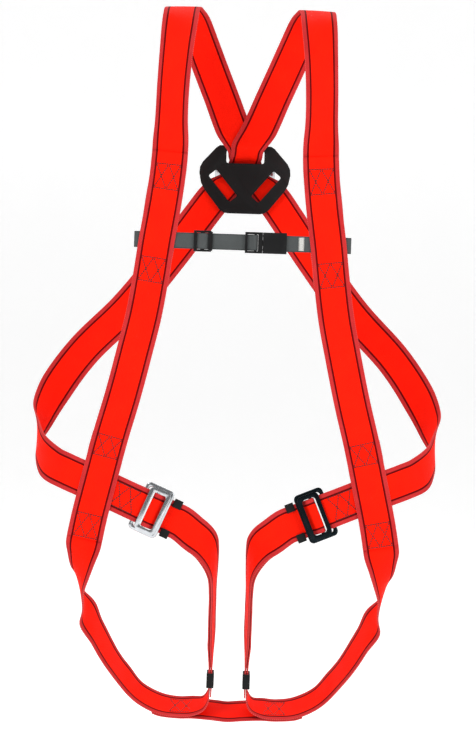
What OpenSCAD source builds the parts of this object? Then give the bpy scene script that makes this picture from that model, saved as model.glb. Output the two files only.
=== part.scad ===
// Full body safety harness hanging in its worn shape, with a dorsal attachment ring,
// a chest strap with a side release buckle and two leg loops with pass-through buckles.
// X runs across the wearer, -Y is the wearer's front, +Z is up, and left is -X.
// The origin lies midway between the tops of the two shoulder straps.

/* [Webbing] */
// Width of the red load webbing
web_w = 45; // [40:1:48]
// Thickness of the red load webbing
web_t = 1.8; // [1.4:0.1:2]
// Width of the grey chest webbing
chest_w = 20; // [16:1:25]
// Thickness of the grey chest webbing
chest_t = 1.4; // [1:0.1:1.6]

/* [Worn shape] */
// Distance of each shoulder strap's top from the middle
shoulder_x = 84; // [78:1:100]
// Depth of the front straps ahead of the shoulder tops
front_y = 72; // [66:1:84]
// Half the width of the harness at the hips
hip_x = 250; // [232:1:274]
// Half the distance between the two leg straps
leg_x = 24.5; // [22:0.5:34]

/* [Dorsal plate] */
// Width of the dorsal plate at its widest
plate_w = 118; // [106:1:130]
// Thickness of the dorsal plate
plate_t = 4; // [3:0.5:4.5]
// Diameter of the dorsal ring's bar
ring_d = 7; // [6:0.5:7.5]
// Clearance beside the webbing inside the dorsal ring, both sides together
ring_room = 19; // [17:1:35]
// Reach of the dorsal ring from its bar to its far end
ring_reach = 66; // [60:1:80]

/* [Chest buckle] */
// Height of the chest buckle
buckle_h = 26; // [25:1:32]
// Thickness of the chest buckle
buckle_t = 11; // [11:0.5:13]

/* [Leg buckles] */
// Slope of the hip straps at the leg buckles, in degrees
buckle_tilt = 23; // [18:1:28]
// Clearance beside the webbing inside the large frame, both sides together
frame_room = 9; // [5:1:17]
// Width of the large frame across its two bars
frame_w = 38; // [37:1:42]
// Bar width of both frames
frame_bar = 5; // [4:0.5:5.5]

/* [Hidden] */
eps = 0.01;
$fn = 48;

// Directions that the outer face of the webbing looks in
FRONT = [0, -1, 0];
BACK = [0, 1, 0];
UP = [0, 0, 1];
DOWN = [0, 0, -1];
OUT = [-1, 0, 0];
IN = [1, 0, 0];

// Depths of the layers at the chest and the hips
tunnel_gap = 3;
hip_gap = 4.5;
layer_gap = 0.7;
chest_back_y = -front_y + web_t + layer_gap;
chest_rear_y = -front_y + web_t + tunnel_gap;
hip_y = -front_y + 6;
hip_back_y = hip_y + web_t + layer_gap;
hip_rear_y = hip_y + web_t + hip_gap + web_t;
hip_mid_y = hip_y + web_t + 1.5;
chest_z = -297;
chest_x = 107;
ply_front_y = -front_y + web_t / 2 + tunnel_gap / 2;
ply_rear_y = chest_rear_y + web_t / 2 + chest_t / 2 + 0.7;

// Depths and heights at the dorsal plate
plate_y = 78;
plate_back_y = plate_y + plate_t;
plate_top_z = -166;
plate_low_z = -254;
slot_top_z = -172;
slot_low_z = -189;
slot_l = web_w + 4;
ring_in_w = web_w + ring_room;
bar_y = plate_back_y + 0.5 + ring_d / 2;
bar_z = -197;
ring_rest = 30;
cross_gap = web_t / 2 + 0.7;
over_bar_y = bar_y + ring_d / 2 + 0.9 + web_t / 2 + cross_gap;

// Centre of each leg buckle, where the large frame's plane lies, and its outer bar's edge
buckle_at = [-101, hip_y + 6, -635.5];
hip_n = buckle_at[1] - hip_mid_y;
run = [cos(buckle_tilt), 0, -sin(buckle_tilt)];
ring_shift = -2;
frame_l = web_w + frame_room + 2 * frame_bar;
bar_edge_u = ring_shift - frame_w / 2 + frame_bar;
wrap_n = frame_bar / 2 + 0.5 + web_t / 2;
wrap_u = bar_edge_u + 0.7 * wrap_n;

// Ends of the two tunnels that the chest strap and the side straps pass through
chest_tunnel_top = chest_z + chest_w / 2 + 43;
chest_tunnel_low = chest_z - chest_w / 2 - 2;
hip_z = -603;
hip_tunnel_top = hip_z + web_w / 2 + 6.5;
hip_tunnel_low = hip_z - web_w / 2 - 8.5;

// ---- Webbing geometry ----

function unit(v) = v / norm(v);

// A route row is [place, facing, width, level]. Level is 1 where the webbing's width lies
// along X instead of square to its run, as it does where it bends over a level edge.
function flat_row(r) = concat(r[0], r[1], [r[2]], [r[3]]);
function place_of(s) = [s[0], s[1], s[2]];
function facing_of(s) = [s[3], s[4], s[5]];

// Centripetal Catmull-Rom curve through b and c
function mix_at(a, b, ka, kb, k) = a * (kb - k) / (kb - ka) + b * (k - ka) / (kb - ka);
function knot_step(a, b) = sqrt(norm(place_of(b) - place_of(a)));
function curve_at(a, b, c, d, t) =
    let (kb = knot_step(a, b), kc = kb + knot_step(b, c), kd = kc + knot_step(c, d))
    let (k = kb + t * (kc - kb))
    let (ab = mix_at(a, b, 0, kb, k), bc = mix_at(b, c, kb, kc, k), cd = mix_at(c, d, kc, kd, k))
    mix_at(mix_at(ab, bc, 0, kc, k), mix_at(bc, cd, kb, kd, k), kb, kc, k);

// Rows joined by a smooth curve, with steps samples between rows
function smooth_rows(rows, steps) =
    let (s = [for (r = rows) flat_row(r)], last = len(s) - 1)
    let (padded = concat([2 * s[0] - s[1]], s, [2 * s[last] - s[last - 1]]))
    concat(
        [for (i = [0 : last - 1]) for (j = [0 : steps - 1])
            curve_at(padded[i], padded[i + 1], padded[i + 2], padded[i + 3], j / steps)],
        [s[last]]
    );

// Frame of the webbing at sample i: place, half width vector and unit facing
function frame_at(s, i) =
    let (a = place_of(s[max(i - 1, 0)]), b = place_of(s[min(i + 1, len(s) - 1)]))
    let (along = unit(b - a), square = unit(cross(along, facing_of(s[i]))))
    let (level_side = [sign(square[0]) / max(abs(square[0]), 0.5), 0, 0], level = s[i][7])
    let (side = square * (1 - level) + level_side * level)
    [place_of(s[i]), side * s[i][6] / 2, unit(cross(side, along)), along];

function ring_of(f, half_t) = [
    f[0] - f[1] - f[2] * half_t, f[0] + f[1] - f[2] * half_t,
    f[0] + f[1] + f[2] * half_t, f[0] - f[1] + f[2] * half_t
];

// Closed solid of webbing along a route
module webbing(rows, thickness = web_t, steps = 4) {
    s = smooth_rows(rows, steps);
    n = len(s);
    rings = [for (i = [0 : n - 1]) each ring_of(frame_at(s, i), thickness / 2)];
    sides = [for (i = [0 : n - 2]) for (k = [0 : 3])
        let (a = 4 * i + k, b = 4 * i + (k + 1) % 4) each [[a, a + 4, b], [b, a + 4, b + 4]]];
    ends = [[0, 1, 2], [0, 2, 3], [4 * n - 4, 4 * n - 2, 4 * n - 3], [4 * n - 4, 4 * n - 1, 4 * n - 2]];
    polyhedron(points = rings, faces = concat(sides, ends), convexity = 10);
}

// The same rows moved off the outer face by a distance, and the rows in reverse order
function lifted(rows, d) = [for (r = rows) [r[0] + unit(r[1]) * d, r[1], r[2], r[3]]];
function reversed(rows) = [for (i = [len(rows) - 1 : -1 : 0]) rows[i]];
function turned_over(rows) = [for (r = rows) [r[0], -r[1], r[2], r[3]]];

// Place at a distance along the hip strap's run and off its face, at the left buckle
function by_buckle(u, n) = buckle_at + run * u + FRONT * n;

// ---- Routes of the left webbing ----

// Shoulder strap: behind the left front strap, over the shoulder, through the dorsal plate
// and round the right hip to the right buckle. Layer sets which of the two lies outside.
function shoulder_rows(layer) = let (c = cross_gap * layer, w = web_w, s = shoulder_x, h = hip_x)
    let (m = [-1, 1, 1], b = function(u, n) [for (i = [0 : 2]) m[i] * by_buckle(u, n)[i]])
    [
        [[-113, chest_back_y, -353], FRONT, w, 0],
        [[-110, chest_back_y, -322], FRONT, w, 0],
        [[-108, chest_rear_y, chest_tunnel_low], FRONT, w, 0],
        [[-104, chest_rear_y, -277], FRONT, w, 0],
        [[-100, chest_rear_y, chest_tunnel_top], FRONT, w, 0],
        [[-98, chest_back_y, chest_tunnel_top + 13], FRONT, w, 0],
        [[-95, chest_back_y, -205], FRONT, w, 0],
        [[-94, chest_back_y, -182], FRONT, w, 0],
        [[-94, chest_back_y + 3, -150], FRONT + 0.4 * OUT, w, 0],
        [[-s - 9, chest_back_y + 6, -100], FRONT + 0.45 * OUT, w, 0],
        [[-s - 6, chest_back_y + 12, -50], FRONT + 0.3 * OUT + 0.1 * UP, w, 0],
        [[-s - 3, chest_back_y + 28, -14], FRONT + 1.1 * UP, w, 0],
        [[-s - 1, -14, 0], UP, w, 0],
        [[-s + 5, 18, -1], UP, w, 0],
        [[-s + 12, 46, -12], UP + 0.8 * BACK, w, 0],
        [[-s + 21, 63, -34], BACK + 0.4 * UP, w, 0],
        [[-s + 35, 70 + c / 2, -68], BACK, w, 0.3],
        [[-33, 73 + c, -106], BACK, w, 1],
        [[-16, 73.6 + c, -147], BACK, w, 1],
        [[-3.5, 73.4 + c, -170], BACK, w - 4, 1],
        [[-1, 83 + c, -181], BACK + UP, w - 4, 1],
        [[2, over_bar_y - 1.5 + c, -190], BACK + 0.4 * UP, w - 6, 1],
        [[5.5, over_bar_y + c, -197], BACK, w - 7, 1],
        [[11, over_bar_y - 3.5 + c, -205], BACK + 0.5 * DOWN, w - 9, 1],
        [[24.5, plate_back_y + 4.4 + c, -218], BACK, w - 3, 0.6],
        [[39, plate_back_y + 4 + c, -235], BACK, w, 0.2],
        [[55, plate_back_y + 3.4 + c, -257], BACK, w, 0],
        [[90, 81, -307], BACK, w, 0],
        [[146, 77, -380], BACK, w, 0],
        [[h - 50, 71, -437], BACK, w, 0],
        [[h - 20, 58, -480], BACK + 0.15 * IN, w, 0],
        [[h - 3, 34, -516], BACK + 0.9 * IN, w, 0],
        [[h + 2, 6, -543], IN, w, 0],
        [[h - 4, -24, -565], IN + 0.5 * FRONT, w, 0],
        [[h - 20, -50, -581], FRONT + 0.3 * IN, w, 0],
        [[h - 38, hip_mid_y, -589], FRONT, w, 0],
        [b(-77, hip_n), FRONT, w, 0],
        [b(-52, hip_n), FRONT, w, 0],
        [b(bar_edge_u - 14, wrap_n), FRONT, w, 0],
        [b(bar_edge_u - 6, wrap_n), FRONT, w, 0],
        [b(bar_edge_u, wrap_n), FRONT, w, 0],
        [b(wrap_u, wrap_n * 0.67), run_face(-1), w, 0],
        [b(wrap_u + 0.8, 0), run_face(0), w, 0],
        [b(wrap_u, -wrap_n * 0.67), run_face(1), w, 0],
        [b(bar_edge_u, -wrap_n), BACK, w, 0],
        [b(bar_edge_u - 6, 0.3 - wrap_n), BACK, w, 0],
        [b(bar_edge_u - 14, 0.6), BACK, w, 0],
        [b(-38, 0.9), BACK, w, 0],
        [b(-60, 0.5), BACK, w, 0]
    ];

// Facing of the webbing round the inner side of a bar: 45 degrees ahead, square, behind
function run_face(k) = unit([-run[0], k, run[2]]);

// Front strap: from the chest overlap to the hip
FRONT_ROWS = [
    [[-94, -front_y, -187], FRONT, web_w, 0],
    [[-96, -front_y, -215], FRONT, web_w, 0],
    [[-100, -front_y, -250], FRONT, web_w, 0],
    [[-chest_x, -front_y, chest_z], FRONT, web_w, 0],
    [[-113, -front_y, -344], FRONT, web_w, 0],
    [[-120, -front_y + 1, -390], FRONT, web_w, 0],
    [[-130, -front_y + 3, -436], FRONT, web_w, 0],
    [[-143, -front_y + 5, -492], FRONT, web_w, 0],
    [[-157, hip_y, -545], FRONT, web_w, 0],
    [[-171, hip_y, -605], FRONT, web_w, 0],
    [[-180, hip_y, -645], FRONT, web_w, 0],
    [[-185, hip_y, -673], FRONT, web_w, 0]
];

// Leg loop: behind the front strap at the hip, under the seat and up to the slide bar
LOOP_ROWS = [
    [[-157, hip_back_y, -543], FRONT, web_w, 0],
    [[-162, hip_back_y, hip_tunnel_top + 10], FRONT, web_w, 0],
    [[-164, hip_rear_y, hip_tunnel_top], FRONT, web_w, 0],
    [[-171, hip_rear_y, hip_z], FRONT, web_w, 0],
    [[-178, hip_rear_y, hip_tunnel_low], FRONT, web_w, 0],
    [[-180, hip_back_y, hip_tunnel_low - 11], FRONT, web_w, 0],
    [[-182, hip_back_y, hip_tunnel_low - 21], FRONT, web_w, 0],
    [[-185.5, hip_back_y + 0.6, -675], FRONT, web_w, 0],
    [[-188, hip_back_y + 4, -694], FRONT + 0.6 * OUT, web_w, 0],
    [[-190, hip_back_y + 10, -719], FRONT + 1.7 * OUT, web_w, 0],
    [[-189, hip_back_y + 20, -738], FRONT + 4 * OUT, web_w, 0],
    [[-184, hip_back_y + 37, -761], [-0.96, 0.25, -0.05], web_w, 0],
    [[-167, 0, -797], [-0.87, 0.45, -0.2], web_w, 0],
    [[-149, 22, -830], [-0.75, 0.5, -0.4], web_w, 0],
    [[-131, 44, -856], [-0.6, 0.6, -0.6], web_w, 0],
    [[-112, 58, -877], [-0.5, 0.5, -0.7], web_w, 0],
    [[-86, 65, -890], [-0.2, 0.5, -0.8], web_w, 0],
    [[-62, 67, -893], [0, 0.5, -0.9], web_w, 0],
    [[-leg_x - 22, 67, -892], [0.1, 0.5, -0.9], web_w, 0],
    [[-leg_x - 7, 65, -888], [0.5, 0.3, -0.8], web_w, 0],
    [[-leg_x, 61, -876], IN, web_w, 0]
];

// Leg strap up from the seat: upright at first, then forward and round to the buckle
leg_y = 59;
LEG_ROWS = [
    [[-leg_x, leg_y, -866], IN, web_w, 0],
    [[-leg_x, leg_y, -848], IN, web_w, 0],
    [[-leg_x, leg_y, -826], IN + 0.05 * FRONT, web_w, 0],
    [[-leg_x, leg_y - 7, -800], IN + 0.14 * FRONT, web_w, 0],
    [[-leg_x, 30, -774], IN + 0.17 * FRONT, web_w, 0],
    [[-leg_x, 4, -748], IN + 0.17 * FRONT, web_w, 0],
    [[-leg_x + 0.5, -20, -724], IN + 0.2 * FRONT, web_w, 0],
    [[-leg_x - 0.5, -38, -703], [0.93, -0.35, 0.1], web_w, 0],
    [[-leg_x - 5, -47, -688], [0.8, -0.6, 0.15], web_w, 0],
    [[-leg_x - 13, by_buckle(0, -8)[1] + 1, -674], [0.5, -0.87, 0.1], web_w, 0],
    [[-leg_x - 27, by_buckle(0, -8)[1], -661.5], [0.1, -1, 0], web_w, 0],
    [by_buckle(38, -8), FRONT, web_w, 0],
    [by_buckle(26, -8), FRONT, web_w, 0],
    [by_buckle(16, -8), FRONT, web_w, 0]
];

// Bend round the slide bar: down through the large frame, round the bar and back
bar_at_u = -2.8;
bar_at_n = 6.5;
slide_r = 2.3;
bend_r = slide_r + 0.2 + web_t / 2;
tail_lift = 2.7;
BAR_ROWS = [
    [by_buckle(11, -6.8), FRONT + 0.3 * run, web_w, 0],
    [by_buckle(7, -2.5), FRONT + run, web_w, 0],
    [by_buckle(3, 2), FRONT + run, web_w, 0],
    [by_buckle(bar_at_u - 0.5, bar_at_n - bend_r), FRONT, web_w, 0],
    [by_buckle(bar_at_u - bend_r * 0.7, bar_at_n - bend_r * 0.7), FRONT + run, web_w, 0],
    [by_buckle(bar_at_u - bend_r, bar_at_n), run, web_w, 0],
    [by_buckle(bar_at_u - bend_r * 0.7, bar_at_n + bend_r * 0.7), run + BACK, web_w, 0],
    [by_buckle(bar_at_u, bar_at_n + bend_r), BACK, web_w, 0],
    [by_buckle(2.4, 8.4), BACK + 0.8 * -run, web_w, 0],
    [by_buckle(5, 5), BACK + 1.2 * -run, web_w, 0],
    [by_buckle(8, 0.5), BACK + 1.2 * -run, web_w, 0],
    [by_buckle(11, -3.3), BACK + 0.6 * -run, web_w, 0]
];
TAIL_END = [[-leg_x, leg_y + 1, -874], IN, web_w, 0];
TAIL_ROWS = turned_over(reversed(lifted(concat([TAIL_END], LEG_ROWS), tail_lift)));
LEG_LOOP_ROWS = concat(LOOP_ROWS, LEG_ROWS, BAR_ROWS, TAIL_ROWS);

// Seat strap: across below the two leg loops, sewn to both
seat_drop = web_t + layer_gap + 0.3;
SEAT_HALF = concat(
    lifted([
        [[-95, 62.8, -886.3], [-0.3, 0.5, -0.75], web_w, 0],
        [[-86, 65, -890], [-0.2, 0.5, -0.8], web_w, 0],
        [[-62, 67, -893], [0, 0.5, -0.9], web_w, 0],
        [[-leg_x - 20, 67, -892.5], [0, 0.5, -0.9], web_w, 0]
    ], seat_drop),
    [
        [[-18, 69, -896.5], [0, 0.5, -0.9], web_w, 0],
        [[0, 69, -898], [0, 0.5, -0.9], web_w, 0]
    ]
);
function mirrored(rows) = [for (r = rows) [[-r[0][0], r[0][1], r[0][2]], [-r[1][0], r[1][1], r[1][2]], r[2], r[3]]];
SEAT_ROWS = concat(SEAT_HALF, [for (i = [len(SEAT_HALF) - 2 : -1 : 0]) mirrored(SEAT_HALF)[i]]);

// ---- Routes of the chest webbing ----

slider_x = -50;
male_bar_x = 16;
female_bar_x = 49.6;
bar_r = 1.6;
fold_r = bar_r + 0.2 + chest_t / 2;
loop_end_x = chest_x + web_w / 2 + 4.5;
tail_end_x = chest_x - web_w / 2 - 5.5;
function chest_row(x, y, facing = FRONT) = [[x, y, chest_z], facing, chest_w, 0];
mid_y = (ply_front_y + ply_rear_y) / 2;
half_gap = (ply_rear_y - ply_front_y) / 2;
slider_ply_y = ply_front_y + chest_t + 0.6;

// Long piece: slider, left strap loop, slider again, then round the bar of the male half
LONG_ROWS = [
    chest_row(slider_x + 10, slider_ply_y, BACK),
    chest_row(slider_x, slider_ply_y, BACK),
    chest_row(slider_x - 10, slider_ply_y, BACK),
    chest_row(slider_x - 15, ply_rear_y, BACK),
    chest_row(-80, ply_rear_y, BACK),
    chest_row(-105, ply_rear_y, BACK),
    chest_row(-loop_end_x + 2, ply_rear_y, BACK),
    chest_row(-loop_end_x, mid_y + half_gap * 0.7, BACK + OUT),
    chest_row(-loop_end_x - 1.2, mid_y, OUT),
    chest_row(-loop_end_x, mid_y - half_gap * 0.7, FRONT + OUT),
    chest_row(-loop_end_x + 2, ply_front_y),
    chest_row(-105, ply_front_y),
    chest_row(-80, ply_front_y),
    chest_row(slider_x - 9, ply_front_y),
    chest_row(slider_x - 6.5, ply_front_y - 0.6, FRONT + 0.3 * OUT),
    chest_row(slider_x - 3.6, ply_front_y - 3.4, FRONT + 0.6 * OUT),
    chest_row(slider_x, ply_front_y - 4.2),
    chest_row(slider_x + 3.6, ply_front_y - 3.4, FRONT + 0.6 * IN),
    chest_row(slider_x + 6.5, ply_front_y - 0.6, FRONT + 0.3 * IN),
    chest_row(slider_x + 9, ply_front_y),
    chest_row(-20, ply_front_y),
    chest_row(4, ply_front_y),
    chest_row(male_bar_x - 5, ply_front_y - 1, FRONT + 0.3 * OUT),
    chest_row(male_bar_x, ply_front_y - fold_r),
    chest_row(male_bar_x + fold_r * 0.7, ply_front_y - fold_r * 0.7, FRONT + IN),
    chest_row(male_bar_x + fold_r, ply_front_y, IN),
    chest_row(male_bar_x + fold_r * 0.7, ply_front_y + fold_r * 0.7, BACK + IN),
    chest_row(male_bar_x, ply_front_y + fold_r, BACK),
    chest_row(4, ply_front_y + fold_r, BACK),
    chest_row(-5, ply_front_y + fold_r - 0.4, BACK)
];

// Short piece: round the bar of the female half, then round the right strap, sewn at the tack
SHORT_ROWS = [
    chest_row(tail_end_x, slider_ply_y, BACK),
    chest_row(66, slider_ply_y, BACK),
    chest_row(58, ply_front_y + fold_r, BACK),
    chest_row(female_bar_x, ply_front_y + fold_r, BACK),
    chest_row(female_bar_x - fold_r * 0.7, ply_front_y + fold_r * 0.7, BACK + OUT),
    chest_row(female_bar_x - fold_r, ply_front_y, OUT),
    chest_row(female_bar_x - fold_r * 0.7, ply_front_y - fold_r * 0.7, FRONT + OUT),
    chest_row(female_bar_x, ply_front_y - fold_r),
    chest_row(57, ply_front_y - 0.8),
    chest_row(64, ply_front_y),
    chest_row(100, ply_front_y),
    chest_row(loop_end_x - 2, ply_front_y),
    chest_row(loop_end_x, mid_y - half_gap * 0.7, FRONT + IN),
    chest_row(loop_end_x + 1.2, mid_y, IN),
    chest_row(loop_end_x, mid_y + half_gap * 0.7, BACK + IN),
    chest_row(loop_end_x - 2, ply_rear_y, BACK),
    chest_row(105, ply_rear_y, BACK),
    chest_row(86, ply_rear_y, BACK)
];

// ---- Strap modules ----

module red_webbing(rows) { color([0.98, 0.12, 0.02]) webbing(rows); }
module grey_webbing(rows) { color([0.24, 0.25, 0.25]) webbing(rows, chest_t, 3); }
module left_to_right() { mirror([1, 0, 0]) children(); }

module shoulder_strap_left() { red_webbing(shoulder_rows(1)); }
module shoulder_strap_right() { left_to_right() red_webbing(shoulder_rows(-1)); }
module front_strap_left() { red_webbing(FRONT_ROWS); }
module front_strap_right() { left_to_right() front_strap_left(); }
module leg_loop_left() { red_webbing(LEG_LOOP_ROWS); }
module leg_loop_right() { left_to_right() leg_loop_left(); }
module seat_strap() { red_webbing(SEAT_ROWS); }
module chest_strap_long() { grey_webbing(LONG_ROWS); }
module chest_strap_short() { grey_webbing(SHORT_ROWS); }

// ---- Dorsal plate and ring ----

PLATE_HALF = [
    [0.56, plate_top_z], [0.64, -169], [0.93, -188], [0.99, -195], [1, -203],
    [0.96, -215], [0.89, -223], [0.54, -249], [0.44, -253], [0.36, plate_low_z]
];
window_l = web_w - 1;
window_w = 13;

// Outline of the plate, wide at its middle with cut corners
module plate_outline() {
    half = plate_w / 2;
    polygon(concat(
        [for (p = PLATE_HALF) [p[0] * half, p[1]]],
        [for (i = [len(PLATE_HALF) - 1 : -1 : 0]) [-PLATE_HALF[i][0] * half, PLATE_HALF[i][1]]]
    ));
}

module rounded_slot(length, width, r) {
    for (sx = [-1, 1]) translate([sx * (length / 2 - r), 0]) square([2 * r, width - 2 * r], center = true);
    square([length - 2 * r, width], center = true);
    for (sx = [-1, 1]) for (sy = [-1, 1]) translate([sx * (length / 2 - r), sy * (width / 2 - r)]) circle(r);
}

// Turns a flat shape in X and Z into a sheet that starts at depth y
module upright(y, thickness) {
    translate([0, y + thickness, 0]) rotate([90, 0, 0]) linear_extrude(thickness) children();
}

module dorsal_plate() {
    cradle_l = 11;
    color([0.05, 0.05, 0.05]) difference() {
        union() {
            upright(plate_y, plate_t) plate_outline();
            for (sx = [-1, 1]) translate([sx * 20 - cradle_l / 2, plate_back_y - eps, bar_z - 7])
                cube([cradle_l, bar_y - plate_back_y, 14]);
        }
        upright(plate_y - 1, plate_t + 2)
            translate([0, (slot_top_z + slot_low_z) / 2]) rounded_slot(slot_l, slot_top_z - slot_low_z, 3);
        for (sx = [-1, 1]) upright(plate_y - 1, plate_t + 2) translate([sx * 28, -218.5])
            rotate(sx * 50) rounded_slot(window_l, window_w, 2.5);
        translate([0, bar_y, bar_z]) rotate([0, 90, 0]) cylinder(h = 80, r = ring_d / 2 + 0.08, center = true);
    }
}

// Forged ring: a straight bar, two legs and a half circle, swinging about the bar
module dorsal_ring() {
    arc_r = ring_in_w / 2 + ring_d / 2;
    leg_l = ring_reach - arc_r;
    color([0.75, 0.76, 0.78]) translate([0, bar_y, bar_z]) rotate([-ring_rest, 0, 0]) {
        rotate([0, 90, 0]) cylinder(h = 2 * arc_r, d = ring_d, center = true);
        for (sx = [-1, 1]) translate([sx * arc_r, 0, 0]) {
            sphere(d = ring_d);
            rotate([-90, 0, 0]) cylinder(h = leg_l, d = ring_d);
        }
        translate([0, leg_l, 0]) rotate_extrude(angle = 180) translate([arc_r, 0]) circle(d = ring_d);
    }
}

// ---- Chest hardware ----

rail_h = 2.6;
module rail_pair(x0, x1, y0, y1, inside) {
    for (sz = [-1, 1]) translate([x0, y0, chest_z + sz * (inside + rail_h / 2) - rail_h / 2])
        cube([x1 - x0, y1 - y0, rail_h]);
}
module cross_bar(x0, x1, y0, y1, inside) {
    translate([x0, y0, chest_z - inside - rail_h / 2]) cube([x1 - x0, y1 - y0, 2 * inside + rail_h]);
}
module round_bar(x, inside) {
    translate([x, ply_front_y, chest_z]) cylinder(h = 2 * inside + rail_h, r = bar_r, center = true);
}
inside_h = chest_w / 2 + 0.5;

slider_half = 11;
slider_bar_w = 3.6;
slider_wide_bar_w = 5.2;
slider_middle_w = 4.8;
module chest_slider() {
    bar_front = ply_front_y - chest_t / 2 - 2.9;
    bar_back = ply_front_y - chest_t / 2 - 0.6;
    left = slider_x - slider_half;
    right = slider_x + slider_half;
    color([0.06, 0.06, 0.06]) union() {
        rail_pair(left, right, bar_front, slider_ply_y + 0.8, inside_h);
        cross_bar(left, left + slider_bar_w, bar_front, bar_back, inside_h);
        cross_bar(slider_x - slider_middle_w / 2, slider_x + slider_middle_w / 2,
            ply_front_y - 2.8, ply_front_y - 0.4, inside_h);
        cross_bar(right - slider_bar_w, right - slider_bar_w + slider_wide_bar_w,
            bar_front, bar_back, inside_h);
    }
}

shell_x0 = 25.25;
shell_x1 = 46;
flange_x = 25;
arm_pivot_x = 26.2;
arm_pivot_r = 1.5;
arm_pivot_z = 8.6;
arm_t = 5;
arm_end_x = 43;

module chest_buckle_male() {
    lead_x = 3;
    lead_w = 3;
    collar_w = 5.7;
    male_front = ply_front_y - 4.4;
    male_t = 7.8;
    tongue_l = 16;
    tongue_t = 3;
    tongue_h = 7;
    color([0.05, 0.05, 0.05]) difference() {
        union() {
            rail_pair(lead_x, flange_x, male_front, male_front + male_t, inside_h);
            cross_bar(lead_x, lead_x + lead_w, male_front, ply_front_y - 1.6, inside_h);
            round_bar(male_bar_x, inside_h);
            translate([flange_x - collar_w, male_front, chest_z - buckle_h / 2])
                cube([collar_w, male_t, buckle_h]);
            translate([flange_x - eps, ply_front_y - tongue_t / 2, chest_z - tongue_h / 2])
                cube([tongue_l, tongue_t, tongue_h]);
        }
        for (sz = [-1, 1]) translate([arm_pivot_x, ply_front_y, chest_z + sz * arm_pivot_z])
            rotate([90, 0, 0]) cylinder(h = 20, r = arm_pivot_r + 0.08, center = true);
    }
}

// Springy arm of the male half, with its catch shoulder to the outside
module release_arm() {
    color([0.05, 0.05, 0.05]) rotate([90, 0, 0]) union() {
        cylinder(h = arm_t, r = arm_pivot_r, center = true);
        translate([0, -1, -arm_t / 2]) cube([arm_end_x - arm_pivot_x, 2, arm_t]);
        translate([7, 0, -arm_t / 2]) cube([arm_end_x - arm_pivot_x - 7, 3.4, arm_t]);
    }
}
module release_arm_upper() {
    translate([arm_pivot_x, ply_front_y, chest_z + arm_pivot_z]) release_arm();
}
module release_arm_lower() {
    translate([arm_pivot_x, ply_front_y, chest_z - arm_pivot_z]) mirror([0, 0, 1]) release_arm();
}

module chest_buckle_female() {
    wall = 1.6;
    end_x = 55;
    hollow_t = 6;
    window_x = 32;
    window_end_x = 43.5;
    window_depth = 8;
    color([0.05, 0.05, 0.05]) difference() {
        union() {
            translate([shell_x0, ply_front_y - buckle_t / 2, chest_z - buckle_h / 2])
                cube([shell_x1 - shell_x0, buckle_t, buckle_h]);
            rail_pair(shell_x1 - 2, end_x, ply_front_y - buckle_t / 2, ply_front_y + 3.6, inside_h);
            cross_bar(shell_x1 - 1, end_x, ply_front_y - buckle_t / 2, ply_front_y - fold_r - 1.5, inside_h);
            round_bar(female_bar_x, inside_h);
        }
        translate([shell_x0 - 1, ply_front_y - hollow_t / 2, chest_z - buckle_h / 2 + wall / 2])
            cube([shell_x1 - shell_x0 - 1, hollow_t, buckle_h - wall]);
        for (sz = [-1, 1])
            translate([window_x, ply_front_y - hollow_t / 2, chest_z + (sz * buckle_h - window_depth) / 2])
                cube([window_end_x - window_x, hollow_t, window_depth]);
    }
}

// ---- Leg buckle hardware ----

// Stands a flat shape at the left buckle: x along the run, y up the frame, z to the front
module at_buckle() {
    translate(buckle_at) rotate([0, buckle_tilt, 0]) rotate([90, 0, 0]) children();
}

module rounded_box(size_u, size_v, r) {
    square([size_u - 2 * r, size_v], center = true);
    square([size_u, size_v - 2 * r], center = true);
    for (su = [-1, 1]) for (sv = [-1, 1]) translate([su * (size_u / 2 - r), sv * (size_v / 2 - r)]) circle(r);
}
module flat_frame(size_u, size_v, bar, thickness, r) {
    translate([0, 0, -thickness / 2]) linear_extrude(thickness) difference() {
        rounded_box(size_u, size_v, r);
        rounded_box(size_u - 2 * bar, size_v - 2 * bar, r - 2);
    }
}

frame_n = 7.6;
male_bar = frame_bar + 0.5;
male_l = web_w + 2 + 2 * male_bar;
male_w = frame_w - 10;
keeper_u = 25;
keeper_l = 11;
keeper_lip = 8;

module leg_ring() {
    color([0.78, 0.79, 0.8]) at_buckle() translate([ring_shift, 0, 0])
        flat_frame(frame_w, frame_l, frame_bar, frame_bar, 6);
}
module leg_frame() {
    color([0.82, 0.83, 0.84]) at_buckle() difference() {
        translate([0, 0, frame_n]) flat_frame(male_w, male_l, male_bar, 4.4, 6);
        translate([bar_at_u, 0, bar_at_n]) rotate([90, 0, 0])
            cylinder(h = male_l - 4, r = slide_r + 0.08, center = true);
    }
}
module slide_bar() {
    color([0.6, 0.61, 0.62]) at_buckle() translate([bar_at_u, 0, bar_at_n])
        rotate([90, 0, 0]) cylinder(h = male_l - 4.6, r = slide_r, center = true);
}
// Open keeper behind both layers of the leg strap, with a lip over each of their edges
module upper_keeper() {
    inner_t = web_t + tail_lift + 0.8;
    outer_t = inner_t + 2.6;
    color([0.04, 0.04, 0.04]) at_buckle() translate([keeper_u, 0, -8 + tail_lift / 2]) difference() {
        cube([keeper_l, web_w + 6, outer_t], center = true);
        cube([keeper_l + 1, web_w + 1.2, inner_t], center = true);
        translate([0, 0, outer_t / 2]) cube([keeper_l + 1, web_w - 2 * keeper_lip, outer_t], center = true);
    }
}

// Keeper low on the leg strap, round both of its layers
lower_keeper_l = 19;
keeper_mid = [-leg_x + tail_lift / 2, leg_y, -855.5];
module lower_keeper() {
    inner_t = tail_lift + web_t + 1;
    color([0.04, 0.04, 0.04]) translate(keeper_mid) difference() {
        cube([inner_t + 4, web_w + 5, lower_keeper_l], center = true);
        cube([inner_t, web_w + 1.2, lower_keeper_l + 1], center = true);
    }
}

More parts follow.
